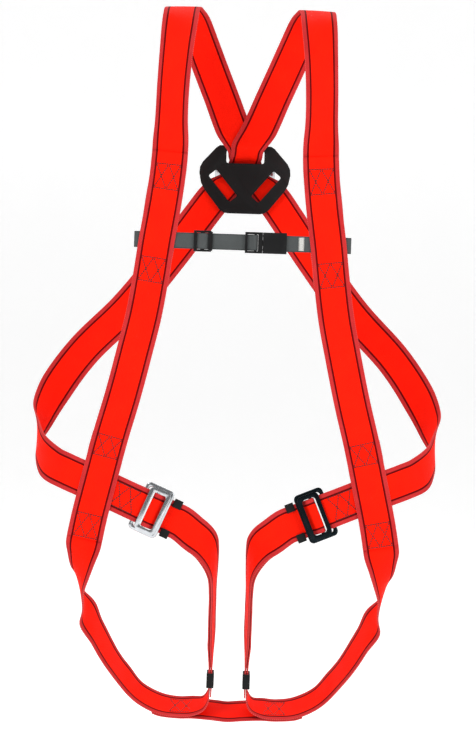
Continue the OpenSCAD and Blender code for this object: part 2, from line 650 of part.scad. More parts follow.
module leg_ring_left() { leg_ring(); }
module leg_ring_right() { left_to_right() leg_ring(); }
module leg_frame_left() { leg_frame(); }
module leg_frame_right() { left_to_right() leg_frame(); }
module slide_bar_left() { slide_bar(); }
module slide_bar_right() { left_to_right() slide_bar(); }
module upper_keeper_left() { upper_keeper(); }
module upper_keeper_right() { left_to_right() upper_keeper(); }
module lower_keeper_left() { lower_keeper(); }
module lower_keeper_right() { left_to_right() lower_keeper(); }

// ---- Stitching ----

thread_d = 0.9;
// Row of lock stitching between two places on a face, deep enough to hold both layers
module stitch_row(a, b, depth) {
    length = norm(b - a);
    turn = atan2(b[1] - a[1], b[0] - a[0]);
    translate([a[0], a[1], -depth / 2]) rotate(turn) translate([0, -thread_d / 2, 0])
        cube([length, thread_d, depth]);
}
// Box of stitching with two crosses inside it
module box_stitch(w, h, depth) {
    color([0.45, 0, 0]) union() {
        for (sy = [-1, 1]) stitch_row([-w / 2, sy * h / 2], [w / 2, sy * h / 2], depth);
        for (i = [0 : 1]) {
            x0 = -w / 2 + i * w / 2;
            stitch_row([x0 + 0.6, -h / 2 + 1], [x0 + w / 2 - 0.6, h / 2 - 1], depth);
            stitch_row([x0 + 0.6, h / 2 - 1], [x0 + w / 2 - 0.6, -h / 2 + 1], depth);
        }
    }
}
// Lays a box on the webbing: its middle, and its slope in the plane of the front
module stitched_at(place, slope) {
    translate(place) rotate([0, slope, 0]) rotate([90, 0, 0]) children();
}
box_w = web_w - 14;
box_h = 31;
side_box_u = web_w / 2 - 64.5;
pair_depth = 2 * web_t + layer_gap + 0.6;

module chest_stitches_left() {
    mid = (-front_y + chest_back_y) / 2;
    stitched_at([-97, mid, -218], 6) box_stitch(box_w, box_h, pair_depth);
    stitched_at([-111.7, mid, -335], 7.5) box_stitch(box_w, box_h - 1, pair_depth);
}
module hip_stitches_left() {
    mid = (hip_y + hip_back_y) / 2;
    stitched_at([-160, mid, -558], 13) box_stitch(box_w, box_h - 5, pair_depth);
    stitched_at([-182.2, mid, -656], 11) box_stitch(box_w, box_h - 2, pair_depth);
}
module side_stitches_left() {
    stitched_at(by_buckle(side_box_u, 1.9), buckle_tilt) box_stitch(box_h - 1, box_w, pair_depth);
}
module seat_stitches_left() {
    translate([-60, 67.6, -894]) rotate([-150, 0, 0]) box_stitch(26, box_w - 1, pair_depth + 1);
}

module chest_stitches() { chest_stitches_left(); left_to_right() chest_stitches_left(); }
module hip_stitches() { hip_stitches_left(); left_to_right() hip_stitches_left(); }
module side_stitches() { side_stitches_left(); left_to_right() side_stitches_left(); }
module seat_stitches() { seat_stitches_left(); left_to_right() seat_stitches_left(); }
module chest_bar_tack() {
    tack_y0 = ply_front_y - chest_t / 2 - 0.2;
    tack_y1 = slider_ply_y + chest_t / 2 + 0.2;
    tack_pitch = 2.6;
    tack_h = chest_w - 4;
    color([0.9, 0.9, 0.88]) for (i = [1 : 4])
        translate([tail_end_x - i * tack_pitch, tack_y0, chest_z - tack_h / 2])
            cube([thread_d, tack_y1 - tack_y0, tack_h]);
}

shoulder_strap_left();
shoulder_strap_right();
front_strap_left();
front_strap_right();
leg_loop_left();
leg_loop_right();
seat_strap();
dorsal_plate();
dorsal_ring();
chest_strap_long();
chest_strap_short();
chest_slider();
chest_buckle_male();
release_arm_upper();
release_arm_lower();
chest_buckle_female();
leg_ring_left();
leg_ring_right();
leg_frame_left();
leg_frame_right();
slide_bar_left();
slide_bar_right();
upper_keeper_left();
upper_keeper_right();
lower_keeper_left();
lower_keeper_right();
chest_stitches();
hip_stitches();
side_stitches();
seat_stitches();
chest_bar_tack();
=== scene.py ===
# %% [markdown]
# A full body safety harness, hanging in the shape it takes when worn.
# The frame comes first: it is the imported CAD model, with every buckle, ring and strap at
# its real size. The box round it is kept, because the visual model has to stay in it.

# %% Load the frame
import math
from bisect import bisect_right
import bmesh
import bpy
from mathutils import Matrix, Vector


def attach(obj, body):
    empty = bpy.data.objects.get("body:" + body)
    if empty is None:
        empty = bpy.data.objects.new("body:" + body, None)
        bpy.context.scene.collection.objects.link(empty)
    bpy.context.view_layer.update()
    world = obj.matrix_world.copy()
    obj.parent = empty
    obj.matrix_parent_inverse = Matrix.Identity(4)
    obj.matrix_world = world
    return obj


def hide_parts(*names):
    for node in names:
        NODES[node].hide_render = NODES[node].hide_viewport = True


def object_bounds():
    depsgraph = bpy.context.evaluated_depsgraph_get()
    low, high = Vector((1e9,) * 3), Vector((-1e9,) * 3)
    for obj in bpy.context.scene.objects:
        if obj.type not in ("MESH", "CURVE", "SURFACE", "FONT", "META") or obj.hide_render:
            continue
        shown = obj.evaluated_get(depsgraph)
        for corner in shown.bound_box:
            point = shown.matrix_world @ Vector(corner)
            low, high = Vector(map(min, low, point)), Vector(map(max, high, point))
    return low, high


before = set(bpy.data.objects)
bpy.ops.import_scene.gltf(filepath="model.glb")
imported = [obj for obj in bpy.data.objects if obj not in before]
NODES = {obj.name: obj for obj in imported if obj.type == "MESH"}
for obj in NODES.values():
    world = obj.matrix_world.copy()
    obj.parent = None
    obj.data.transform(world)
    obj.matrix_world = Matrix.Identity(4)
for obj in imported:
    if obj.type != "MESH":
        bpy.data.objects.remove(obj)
cad_low, cad_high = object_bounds()
MM = 0.001
print("frame nodes", len(NODES), "box", [round(v, 3) for v in cad_high - cad_low])

# %% [markdown]
# Shader maths reads best as ordinary arithmetic. One small class wraps an output socket and
# adds a Math node for each operator. One method, node, makes any other kind of node.

# %% A socket that does arithmetic
class Wire:
    """An output socket in a material's tree, or a way to reach the tree."""

    def __init__(self, tree, socket=None):
        self.tree = tree
        self.socket = socket

    def node(self, kind, settings=None, inputs=None, output=0):
        made = self.tree.nodes.new(kind)
        for name, value in (settings or {}).items():
            setattr(made, name, value)
        for name, value in (inputs or {}).items():
            target = made.inputs[name]
            if isinstance(value, Wire):
                self.tree.links.new(value.socket, target)
            else:
                target.default_value = value
        return Wire(self.tree, made.outputs[output])

    def maths(self, operation, *values):
        return self.node("ShaderNodeMath", {"operation": operation}, dict(enumerate(values)))

    def __add__(self, other): return self.maths("ADD", self, other)
    def __radd__(self, other): return self.maths("ADD", other, self)
    def __sub__(self, other): return self.maths("SUBTRACT", self, other)
    def __rsub__(self, other): return self.maths("SUBTRACT", other, self)
    def __mul__(self, other): return self.maths("MULTIPLY", self, other)
    def __rmul__(self, other): return self.maths("MULTIPLY", other, self)
    def __truediv__(self, other): return self.maths("DIVIDE", self, other)
    def __abs__(self): return self.maths("ABSOLUTE", self)

    def wave(self): return self.maths("SINE", self)
    def whole(self): return self.maths("FLOOR", self)
    def remainder(self, size): return self.maths("FLOORED_MODULO", self, size)

    def band(self, start, end):
        """0 below start, 1 above end, and a smooth step between."""
        settings = {"interpolation_type": "SMOOTHSTEP"}
        inputs = {"Value": self, "From Min": start, "From Max": end}
        return self.node("ShaderNodeMapRange", settings, inputs)

    def mixed(self, first, second):
        """The first colour where this wire is 0, the second where it is 1."""
        inputs = {0: self, 6: first, 7: second}
        return self.node("ShaderNodeMix", {"data_type": "RGBA", "clamp_factor": True}, inputs, output=2)


def rgb(red, green, blue):
    """A colour given as 0 to 255 screen values, as the shader's linear values."""
    def linear(v):
        return ((v / 255 + 0.055) / 1.055) ** 2.4 if v > 10 else v / 255 / 12.92
    return linear(red), linear(green), linear(blue), 1


FINISH = "_finish"


def material(name, constants):
    """A new material: its tree as a Wire, and its shader node with the given constants."""
    made = bpy.data.materials.new(name + FINISH)
    made.use_nodes = True
    tree = made.node_tree
    shader = tree.nodes["Principled BSDF"]
    for socket, value in constants.items():
        shader.inputs[socket].default_value = value
    return made, Wire(tree), shader


def feed(wire, shader, socket):
    wire.tree.links.new(wire.socket, shader.inputs[socket])

print("wire ready:", rgb(250, 30, 0)[:3])

# %% [markdown]
# Load webbing is woven polyester, 45 mm wide. Its face is bright orange red, a dull crimson
# band runs down each edge, and a dark tracer thread lies just inside each band. The colour
# follows the strap round every bend, so it reads the strap's own map: across the webbing in
# one direction and along it in the other, both in millimetres. The weave is a row of warp
# columns whose floats step past each other, with fine ribs across.

# %% Red load webbing
WEB_W, WEB_T = 45.0, 1.8
TRACER_AT, BAND_AT, SELVAGE_AT = (14.9, 15.3), (17.2, 17.6), (21.6, 22.4)
WARP, RIB = 1.5, 2.6


def strap_map(top):
    """Millimetres across from the centre line, and millimetres along, from the map called weave."""
    both = top.node("ShaderNodeUVMap", {"uv_map": "weave"})
    split = {"Vector": both}
    return (top.node("ShaderNodeSeparateXYZ", None, split, output=0),
            top.node("ShaderNodeSeparateXYZ", None, split, output=1))


def spots(top, scale, detail=3.0):
    """Soft random patches from 0 to 1, so many to the metre, in the object's own space."""
    place = top.node("ShaderNodeTexCoord", None, None, output=3)
    inputs = {"Vector": place, "Scale": scale, "Detail": detail}
    return top.node("ShaderNodeTexNoise", {"noise_dimensions": "3D"}, inputs)


def bump(top, shader, height, distance, strength=1.0):
    inputs = {"Height": height, "Distance": distance, "Strength": strength}
    feed(top.node("ShaderNodeBump", None, inputs), shader, "Normal")


def weave(across, along, column, rib):
    """Height of the cloth, 0 to 1: rounded warp columns with floats that step by half a rib."""
    pillar = abs((across * (math.pi / column)).wave())
    step = (across / column).whole().remainder(2.0) * math.pi
    float_ = 0.5 + 0.5 * (along * (2 * math.pi / rib) + step).wave()
    return pillar * 0.45 + float_ * 0.55


def red_webbing_material():
    made, top, shader = material("webbing_red", {
        "Roughness": 0.75, "Specular IOR Level": 0.07, "Sheen Weight": 0.0})
    across, along = strap_map(top)
    off_centre = abs(across)
    cloth = weave(across, along, WARP, RIB)
    rib = 0.5 + 0.5 * (along * (2 * math.pi / (RIB / 2))).wave()
    patches = spots(top, 38.0)
    face = patches.mixed(rgb(240, 18, 0), rgb(252, 28, 0))
    # Painted shade: the face is painted darker in the weave's low places, where shade falls between the columns
    # and ribs.
    face = (cloth.band(0.5, 0.02) * 0.34).mixed(face, rgb(206, 8, 0))
    edge = patches.mixed(rgb(176, 34, 36), rgb(200, 52, 52))
    # Painted shade: the edge bands and the tracer are also painted darker in the weave's low places.
    edge = (cloth.band(0.5, 0.02) * 0.5).mixed(edge, rgb(120, 12, 18))
    tracer = (cloth.band(0.6, 0.1) * 0.5).mixed(rgb(96, 0, 2), rgb(52, 0, 0))
    in_band = off_centre.band(*BAND_AT)
    in_tracer = off_centre.band(*TRACER_AT)
    colour = in_tracer.mixed(face, tracer)
    colour = in_band.mixed(colour, edge)
    picks = 0.5 + 0.5 * (along * (2 * math.pi / RIB)).wave()
    selvage = off_centre.band(*SELVAGE_AT) * picks
    colour = (selvage * 0.6).mixed(colour, rgb(215, 92, 88))
    feed(colour, shader, "Base Color")
    feed(0.62 + cloth * 0.12 + in_tracer * 0.05, shader, "Roughness")
    bump(top, shader, cloth + rib * 0.25 + in_tracer * 0.2, 0.0003, 0.8)
    return made

RED = red_webbing_material()

# %% [markdown]
# Chest webbing is thinner and narrower, a plain grey narrow fabric with a finer rib, painted darker in its
# grooves as shade. Sewing thread is a twisted cord, so its lines run slantwise round it; on parts this small, a
# fine twist is all that shows, as a bump and as painted shade in its grooves.

# %% Grey webbing and threads
def grey_webbing_material():
    made, top, shader = material("webbing_grey", {
        "Roughness": 0.78, "Specular IOR Level": 0.15,
        "Sheen Weight": 0.05, "Sheen Roughness": 0.5})
    across, along = strap_map(top)
    cloth = weave(across, along, 1.1, 1.9)
    patches = spots(top, 60.0)
    face = patches.mixed(rgb(64, 67, 67), rgb(80, 84, 84))
    # Painted shade: the face is painted darker in the weave's low places.
    face = (cloth.band(0.5, 0.05) * 0.6).mixed(face, rgb(36, 38, 39))
    face = (abs(across).band(8.4, 8.9) * 0.5).mixed(face, rgb(42, 45, 45))
    feed(face, shader, "Base Color")
    feed(0.66 + cloth * 0.14, shader, "Roughness")
    bump(top, shader, cloth, 0.00025, 0.8)
    return made


def thread_material(name, light, dark):
    made, top, shader = material(name, {
        "Roughness": 0.5, "Specular IOR Level": 0.4, "Sheen Weight": 0.1})
    place = top.node("ShaderNodeTexCoord", None, None, output=3)
    slant = {"Vector": place, "Scale": 900.0, "Distortion": 1.5}
    twist = top.node("ShaderNodeTexWave", {"bands_direction": "DIAGONAL"}, slant, output=1)
    # Painted shade: the thread's colour is darker in the grooves of the twist.
    feed(twist.mixed(dark, light), shader, "Base Color")
    feed(0.45 + twist * 0.2, shader, "Roughness")
    bump(top, shader, twist, 0.0001)
    return made

GREY = grey_webbing_material()
THREAD_RED = thread_material("thread_red", rgb(78, 0, 2), rgb(40, 0, 0))
THREAD_WHITE = thread_material("thread_white", rgb(226, 226, 220), rgb(150, 150, 146))
print("cloth materials", RED.name, GREY.name, THREAD_RED.name, THREAD_WHITE.name)

# %% [markdown]
# Three more families: moulded black nylon with a fine spark-eroded grain and a few scuffs, polished plated steel
# with hairline scratches, and the same plated steel painted dark, a painted reflection of dark surroundings on
# the right-hand parts.

# %% Plastics and steels
def plastic_material(name, colour, worn, rough):
    made, top, shader = material(name, {"IOR": 1.5, "Specular IOR Level": 0.22})
    grain = spots(top, 2600.0, 2.0)
    cloud = spots(top, 45.0, 4.0)
    scuff = spots(top, 300.0, 6.0).band(0.6, 0.72) * cloud.band(0.45, 0.65)
    feed((scuff * 0.5).mixed(colour, worn), shader, "Base Color")
    feed(rough + cloud * 0.12 + scuff * 0.15, shader, "Roughness")
    bump(top, shader, grain + scuff * 0.4, 0.00006, 0.7)
    return made


def steel_material(name, light, dark, rough, pitting):
    made, top, shader = material(name, {"Metallic": 1.0, "IOR": 2.5})
    place = top.node("ShaderNodeTexCoord", None, None, output=3)
    stretch = top.node("ShaderNodeMapping", None, {
        "Vector": place, "Rotation": (0.3, 0.5, 0.9), "Scale": (160, 2600, 900)})
    hairline = top.node("ShaderNodeTexNoise", None, {
        "Vector": stretch, "Scale": 1.0, "Detail": 4.0})
    cloud = spots(top, 70.0, 5.0)
    pits = spots(top, 1400.0, 2.0).band(0.68, 0.78)
    colour = cloud.mixed(light, dark)
    feed((pits * pitting).mixed(colour, dark), shader, "Base Color")
    feed(rough + cloud * 0.1 + hairline * 0.12 + pits * 0.2, shader, "Roughness")
    bump(top, shader, hairline * 0.4 + pits * 0.6, 0.00005, 0.5)
    return made

PLATE = plastic_material("plate_black", rgb(6, 6, 7), rgb(34, 34, 36), 0.42)
BUCKLE = plastic_material("buckle_black", rgb(7, 7, 8), rgb(40, 40, 42), 0.36)
KEEPER = plastic_material("keeper_black", rgb(6, 6, 7), rgb(32, 32, 34), 0.5)
BRIGHT = steel_material("frame_bright", rgb(214, 217, 220), rgb(150, 154, 158), 0.06, 0.3)
# Painted reflection: the same plated steel painted dark, standing in for the dark surroundings that the
# right-hand steel parts reflect.
STEEL_DARK_REFLECTION = steel_material("frame_dark", rgb(30, 38, 42), rgb(12, 17, 20), 0.22, 0.5)
RING = steel_material("ring_steel", rgb(206, 208, 210), rgb(150, 153, 157), 0.22, 0.5)
print("hard materials", PLATE.name, BUCKLE.name, KEEPER.name, BRIGHT.name, STEEL_DARK_REFLECTION.name, RING.name)

# %% [markdown]
# Camera and light. A long lens from four metres keeps the straps nearly parallel, as a
# product view does. The harness leans slightly, so the camera is rolled by the same small
# angle. The floor is a pale sheet that sweeps up into a backdrop, made by extruding an edge
# along a quarter circle, and three large soft lamps fill it evenly.

# %% Camera
VIEW_ASIDE = -0.0007
VIEW_AWAY = 3.9
VIEW_HEIGHT = -0.45
VIEW_LEAN = math.radians(-1.9)
SENSOR = 36.0
TALL_FIELD = 0.9267
lens_data = bpy.data.cameras.new("camera")
lens_data.sensor_width = SENSOR
lens_data.lens = SENSOR * VIEW_AWAY / TALL_FIELD
camera = bpy.data.objects.new("camera", lens_data)
bpy.context.scene.collection.objects.link(camera)
camera.location = (VIEW_ASIDE, -VIEW_AWAY, VIEW_HEIGHT)
camera.rotation_euler = (math.radians(90), VIEW_LEAN, 0)
bpy.context.scene.camera = camera
bpy.context.scene.view_settings.view_transform = "Standard"
print("lens", round(lens_data.lens, 1))


# %% Floor, backdrop and lamps
def new_object(name, bm, surface):
    """A mesh object at the origin from a bmesh, with one material."""
    mesh = bpy.data.meshes.new(name)
    bm.to_mesh(mesh)
    bm.free()
    mesh.materials.append(surface)
    made = bpy.data.objects.new(name, mesh)
    bpy.context.scene.collection.objects.link(made)
    return made


def moved(bm, geometry, by):
    """Moves the vertices in what an operator has just made."""
    verts = [v for v in geometry if isinstance(v, bmesh.types.BMVert)]
    bmesh.ops.translate(bm, verts=verts, vec=by)


def sweep_floor():
    white, top, shader = material("studio_white", {
        "Roughness": 0.9, "Emission Color": (1, 1, 1, 1), "Emission Strength": 0.33})
    feed(spots(top, 3.0).mixed((0.86, 0.86, 0.86, 1), (0.88, 0.88, 0.88, 1)), shader, "Base Color")
    bm = bmesh.new()
    floor_z, front, back, side = cad_low.z - 0.02, -6.0, 5.0, 6.0
    bend, wall_high, near = 1.2, 4, 0.01
    ends = [bm.verts.new((x, front, floor_z)) for x in (-side, side)]
    edge = bm.edges.new(ends)
    flat = bmesh.ops.extrude_edge_only(bm, edges=[edge])["geom"]
    moved(bm, flat, (0, back - front, 0))
    last = [e for e in bm.edges if all(v.co.y > back - near for v in e.verts)]
    bmesh.ops.spin(bm, geom=last, cent=(0, back, floor_z + bend), axis=(1, 0, 0),
                   angle=math.pi / 2, steps=24)
    top_edge = [e for e in bm.edges if all(v.co.z > floor_z + bend - near for v in e.verts)]
    wall = bmesh.ops.extrude_edge_only(bm, edges=top_edge)["geom"]
    moved(bm, wall, (0, 0, wall_high))
    for face in bm.faces:
        face.smooth = True
    new_object("studio_floor", bm, white)


def lamp(name, place, size, power):
    data = bpy.data.lights.new(name, "AREA")
    data.shape = "RECTANGLE"
    data.size, data.size_y = size
    data.energy = power
    made = bpy.data.objects.new(name, data)
    bpy.context.scene.collection.objects.link(made)
    made.location = place
    aim = Vector((0, 0, VIEW_HEIGHT)) - Vector(place)
    made.rotation_euler = aim.to_track_quat("-Z", "Y").to_euler()

sweep_floor()
lamp("key", (-1.5, -2.6, 1.5), (1.6, 1.6), 62)
lamp("fill", (2.2, -2.4, 0.3), (1.8, 1.8), 44)
lamp("back", (0.0, 1.2, 2.4), (2.4, 1.2), 46)
world = bpy.data.worlds.new("studio")
world.use_nodes = True
air = Wire(world.node_tree)
compass = air.node("ShaderNodeTexCoord", None, None, output=0)
facing = air.node("ShaderNodeSeparateXYZ", None, {"Vector": compass}, output=1)
shade = facing.band(-0.95, 0.3).mixed((0.3, 0.3, 0.3, 1), (1, 1, 1, 1))
background = world.node_tree.nodes["Background"]
feed(shade, background, "Color")
background.inputs["Strength"].default_value = 0.9
bpy.context.scene.world = world
print("studio ready")

# %% [markdown]
# Every strap is flat webbing that bends and twists along a route. It could be a curve with a
# bevel, but a curve tilts its section by its own rules, and a strap has to face what it lies
# on. So a route is a short list of rows: where the webbing's middle is, which way its outer
# face looks, how wide it is, and how far its width lies level across a straight edge. A
# smooth curve runs through the rows, and the frame at any distance along it is read off.

# %% Routes
FRONT, BACK = Vector((0, -1, 0)), Vector((0, 1, 0))
UP, DOWN = Vector((0, 0, 1)), Vector((0, 0, -1))
OUT, IN = Vector((-1, 0, 0)), Vector((1, 0, 0))


def row(place, facing, width=WEB_W, level=0.0):
    return Vector((*place, *facing, width, level))


def smoothed(rows, steps):
    """Rows on a smooth curve through the given ones, with steps of them to each gap."""
    rows = [2 * rows[0] - rows[1], *rows, 2 * rows[-1] - rows[-2]]
    gaps = [math.sqrt(math.dist(a[:3], b[:3])) for a, b in zip(rows, rows[1:])]
    curve = []
    for i in range(1, len(rows) - 2):
        a, b, c, d = rows[i - 1:i + 3]
        kb, kc, kd = gaps[i - 1], gaps[i - 1] + gaps[i], sum(gaps[i - 1:i + 2])
        for step in range(steps):
            k = kb + gaps[i] * step / steps
            ab = a.lerp(b, k / kb)
            bc = b.lerp(c, (k - kb) / (kc - kb))
            cd = c.lerp(d, (k - kc) / (kd - kc))
            before, after = ab.lerp(bc, k / kc), bc.lerp(cd, (k - kb) / (kd - kb))
            curve.append(before.lerp(after, (k - kb) / (kc - kb)))
    return curve + [rows[-2]]


class Route:
    """The path of a strap's middle, in millimetres, with the strap's frame all along it."""

    def __init__(self, rows, steps=10):
        curve = smoothed(rows, steps)
        self.places = [Vector(r[:3]) for r in curve]
        self.marks = [0.0]
        for a, b in zip(self.places, self.places[1:]):
            self.marks.append(self.marks[-1] + (b - a).length)
        self.length = self.marks[-1]
        self.frames = []
        last = len(curve) - 1
        for i, r in enumerate(curve):
            along = (self.places[min(i + 1, last)] - self.places[max(i - 1, 0)]).normalized()
            square = along.cross(Vector(r[3:6])).normalized()
            level_side = Vector((math.copysign(1 / max(abs(square.x), 0.5), square.x), 0, 0))
            side = square.lerp(level_side, r[7])
            self.frames.append((side * r[6], side.cross(along).normalized(), along))

    def at(self, distance):
        """The place, the whole width as a vector, the outer facing and the direction."""
        distance = min(max(distance, 0.0), self.length)
        i = min(max(bisect_right(self.marks, distance) - 1, 0), len(self.marks) - 2)
        share = (distance - self.marks[i]) / max(self.marks[i + 1] - self.marks[i], 1e-9)
        span, facing, along = (a.lerp(b, share) for a, b in zip(self.frames[i], self.frames[i + 1]))
        place = self.places[i].lerp(self.places[i + 1], share)
        return place, span, facing.normalized(), along.normalized()

    def nearest(self, point, start=0.0, end=1.0):
        """How far along it the place nearest to a point is, between two shares of its length."""
        inside = [i for i, m in enumerate(self.marks) if start <= m / self.length <= end]
        return self.marks[min(inside, key=lambda i: (self.places[i] - Vector(point)).length)]


def flipped(v):
    return Vector((-v[0], v[1], v[2]))


def mirrored(rows):
    return [row(flipped(r[:3]), flipped(r[3:6]), r[6], r[7]) for r in rows]


def lifted(rows, distance):
    """The rows moved off their outer face."""
    return [row(Vector(r[:3]) + Vector(r[3:6]).normalized() * distance, r[3:6], r[6], r[7]) for r in rows]


def turned_back(rows):
    """The rows in the other order, facing the other way."""
    return [row(r[:3], -Vector(r[3:6]), r[6], r[7]) for r in reversed(rows)]

print("a route row holds", len(row((0, 0, 0), FRONT)), "numbers")

# %% [markdown]
# The webbing is woven flat and bent afterwards. One bmesh grid is the flat length of strap,
# solidify gives it thickness and bevel rounds its two woven edges, all while it is still
# flat and exact. Its map is taken then, in millimetres of cloth. Last, every vertex moves to
# its place on the route, so stripes and weave follow each bend. The lanes are closest
# together at the edges, where the light changes fastest.

# %% Webbing
def flat_webbing(width, length, thickness, lanes, pitch):
    """A flat strap as a bmesh, centred across, starting at y 0, with its map of the cloth."""
    bm = bmesh.new()
    bmesh.ops.create_grid(bm, x_segments=lanes, y_segments=max(int(length / pitch), 6), size=0.5)
    for v in bm.verts:
        v.co = (0.5 * math.sin(math.pi * v.co.x) * width, (v.co.y + 0.5) * length, 0)
    bmesh.ops.solidify(bm, geom=bm.faces[:], thickness=thickness)
    middle = (min(v.co.z for v in bm.verts) + max(v.co.z for v in bm.verts)) / 2
    bmesh.ops.translate(bm, verts=bm.verts[:], vec=(0, 0, -middle))
    edge = width / 2 - 0.01
    selvage = [e for e in bm.edges if all(abs(v.co.x) > edge for v in e.verts)
               and abs(e.verts[0].co.y - e.verts[1].co.y) > 0.01]
    bmesh.ops.bevel(bm, geom=selvage, offset=thickness * 0.42, segments=2, profile=0.5,
                    affect="EDGES", clamp_overlap=True, material=-1)
    bmesh.ops.recalc_face_normals(bm, faces=bm.faces[:])
    cloth = bm.loops.layers.uv.new("weave")
    for face in bm.faces:
        face.smooth = True
        for loop in face.loops:
            loop[cloth].uv = loop.vert.co.xy
    return bm


FADE, WANDER = 60, 0.10


def webbing(name, rows, surface, body, width=WEB_W, thickness=WEB_T, lanes=10, pitch=3.0, cup=0.0):
    """A strap along a route. cup is how far its middle stands proud of its edges, in mm.
    The cup fades out towards both ends, and the cloth wanders a little off true."""
    route = Route(rows)
    bm = flat_webbing(width, route.length, thickness, lanes, pitch)
    for v in bm.verts:
        x, y, z = v.co
        place, span, facing, _ = route.at(y)
        fade = min(1.0, y / FADE, (route.length - y) / FADE)
        proud = cup * fade * (0.33 - (2 * x / width) ** 2)
        ripple = WANDER * math.sin(y / 17.0 + x / 9.0) * math.sin(y / 41.0)
        v.co = (place + span * (x / width) + facing * (z + proud + ripple)) * MM
    if bm.calc_volume(signed=True) < 0:
        bmesh.ops.reverse_faces(bm, faces=bm.faces[:])
    made = new_object(name, bm, surface)
    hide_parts(name.replace("webbing_", ""))
    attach(made, body)
    print(f"{name}: {route.length:.0f} mm of {width:.0f} mm webbing")
    return route

# %% [markdown]
# Each shoulder strap starts behind a front strap at the chest, goes over the shoulder, passes
# through the slot of the dorsal plate and round its bar, crosses the other strap and comes
# down round the far hip to a leg buckle, where it is sewn round the buckle's outer bar. Both
# are the same route, and layer says which one lies outside where they cross.

# %% Shoulder straps
FRONT_Y, HIP_Y, CHEST_Z = -72.0, -66.0, -297.0
CHEST_BACK_Y, CHEST_REAR_Y = FRONT_Y + 2.5, FRONT_Y + 4.8
HIP_BACK_Y, HIP_MID_Y, HIP_REAR_Y = HIP_Y + 2.5, HIP_Y + 3.3, HIP_Y + 8.1
HIP_N = -60 - HIP_MID_Y
PLATE_BACK_Y, BAR_Y, BAR_Z, RING_D = 82.0, 86.0, -197.0, 7.0
CROSS_GAP = 1.6
OVER_BAR_Y = BAR_Y + RING_D / 2 + WEB_T / 2 + 0.9 + CROSS_GAP
TILT = math.radians(23)
RUN = Vector((math.cos(TILT), 0, -math.sin(TILT)))
BUCKLE_AT = Vector((-101, -60, -635.5))


def by_buckle(u, n):
    """The place that far along the hip strap's run from the left buckle, and off its face."""
    return BUCKLE_AT + RUN * u + FRONT * n


def inner_face(k):
    """Facing of webbing round the buckle's outer bar: ahead of it, square to it or behind it."""
    return Vector((-RUN.x, k, RUN.z)).normalized()


def shoulder_rows(layer):
    c = CROSS_GAP * layer
    wrap = [
        row(flipped(by_buckle(-30, 3.9)), FRONT), row(flipped(by_buckle(-22, 3.9)), FRONT),
        row(flipped(by_buckle(-16, 3.9)), FRONT), row(flipped(by_buckle(-13.27, 2.61)), inner_face(-1)),
        row(flipped(by_buckle(-12.47, 0)), inner_face(0)), row(flipped(by_buckle(-13.27, -2.61)), inner_face(1)),
        row(flipped(by_buckle(-16, -3.9)), BACK), row(flipped(by_buckle(-22, -3.6)), BACK),
        row(flipped(by_buckle(-30, 0.6)), BACK), row(flipped(by_buckle(-38, 0.9)), BACK),
        row(flipped(by_buckle(-60, 0.5)), BACK)]
    return [
        row((-113, CHEST_BACK_Y, -353), FRONT), row((-110, CHEST_BACK_Y, -322), FRONT),
        row((-108, CHEST_REAR_Y, -309), FRONT), row((-104, CHEST_REAR_Y, -277), FRONT),
        row((-100, CHEST_REAR_Y, -244), FRONT), row((-98, CHEST_BACK_Y, -231), FRONT),
        row((-95, CHEST_BACK_Y, -205), FRONT), row((-94, CHEST_BACK_Y, -182), FRONT),
        row((-94, CHEST_BACK_Y + 3, -150), FRONT + 0.4 * OUT),
        row((-93, CHEST_BACK_Y + 6, -100), FRONT + 0.45 * OUT),
        row((-90, CHEST_BACK_Y + 12, -50), FRONT + 0.3 * OUT + 0.1 * UP),
        row((-87, CHEST_BACK_Y + 28, -14), FRONT + 1.1 * UP), row((-85, -14, 0), UP),
        row((-79, 18, -1), UP), row((-72, 46, -12), UP + 0.8 * BACK),
        row((-63, 63, -34), BACK + 0.4 * UP), row((-49, 70 + c / 2, -68), BACK, 45, 0.3),
        row((-33, 73 + c, -106), BACK, 45, 1), row((-16, 73.6 + c, -147), BACK, 45, 1),
        row((-3.5, 73.4 + c, -170), BACK, 41, 1), row((-1, 83 + c, -181), BACK + UP, 41, 1),
        row((2, OVER_BAR_Y - 1.5 + c, -190), BACK + 0.4 * UP, 39, 1),
        row((5.5, OVER_BAR_Y + c, -197), BACK, 38, 1),
        row((11, OVER_BAR_Y - 3.5 + c, -205), BACK + 0.5 * DOWN, 36, 1),
        row((24.5, PLATE_BACK_Y + 4.4 + c, -218), BACK, 42, 0.6),
        row((39, PLATE_BACK_Y + 4 + c, -235), BACK, 45, 0.2),
        row((55, PLATE_BACK_Y + 3.4 + c, -257), BACK),
        row((90, 81, -307), BACK), row((146, 77, -380), BACK), row((200, 71, -437), BACK),
        row((230, 58, -480), BACK + 0.15 * IN), row((247, 34, -516), BACK + 0.9 * IN),
        row((252, 6, -543), IN), row((246, -24, -565), IN + 0.5 * FRONT),
        row((230, -50, -581), FRONT + 0.3 * IN), row((212, HIP_MID_Y, -589), FRONT),
        row(flipped(by_buckle(-77, HIP_N)), FRONT), row(flipped(by_buckle(-52, HIP_N)), FRONT)] + wrap

shoulder_left = webbing("webbing_shoulder_strap_left", shoulder_rows(1), RED, "webbing", cup=0.4)
shoulder_right = webbing("webbing_shoulder_strap_right", mirrored(shoulder_rows(-1)), RED, "webbing", cup=0.4)

# %% [markdown]
# The front straps hang straight from the chest to the hips over everything else. Each is sewn
# to the shoulder strap above, and to the leg loop below, which goes under the seat and comes
# up between the legs as a leg strap. That strap bends round the sliding bar of its buckle
# and comes back down in front of itself as the adjustable tail.

